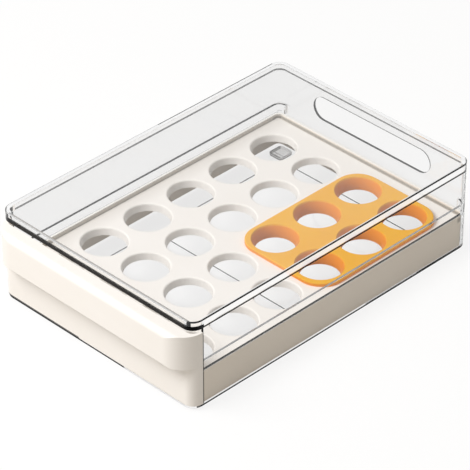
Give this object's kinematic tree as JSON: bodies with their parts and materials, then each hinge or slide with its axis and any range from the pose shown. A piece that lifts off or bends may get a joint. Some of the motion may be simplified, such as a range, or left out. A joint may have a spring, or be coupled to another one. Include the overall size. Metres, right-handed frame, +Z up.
{
  "type": "egg storage drawer",
  "caption": "Clear storage case with a pull-out drawer; a lift-out plate with round collars holds eggs upright, and a small nesting tray sits in part of it.",
  "frame": {"origin": "on the ground, under the middle of the box round the case and its handle", "axes": "+Y from the drawer front to the rear wall, +Z up, +X to the right as seen from the front"},
  "size_m": [0.217, 0.326, 0.0845],
  "materials": {
    "clear_plastic": "clear, glossy injection-moulded plastic with polished faces and dark cut edges",
    "cream_plastic": "satin warm white moulded plastic",
    "yellow_plastic": "satin egg-yolk yellow moulded plastic",
    "foot_rubber": "soft, milky translucent rubber"
  },
  "bodies": {
    "case": {"case_body": "clear_plastic", "case_lid": "clear_plastic", "front_left_foot": "foot_rubber", "front_right_foot": "foot_rubber", "rear_left_foot": "foot_rubber", "rear_right_foot": "foot_rubber"},
    "drawer": {"drawer_frame": "cream_plastic", "drawer_front": "cream_plastic"},
    "plate": {"egg_plate": "cream_plastic"},
    "tray": {"small_egg_tray": "yellow_plastic"}
  },
  "joints": [
    {"name": "drawer_slide", "type": "slide", "parent": "case", "child": "drawer", "axis": [0, -1, 0], "range_m": [0, 0.25]},
    {"name": "plate_lift", "type": "slide", "parent": "drawer", "child": "plate", "axis": [0, 0, 1], "range_m": [0, 0.015]},
    {"name": "tray_lift", "type": "slide", "parent": "plate", "child": "tray", "axis": [0, 0, 1], "range_m": [0, 0.02]}
  ]
}
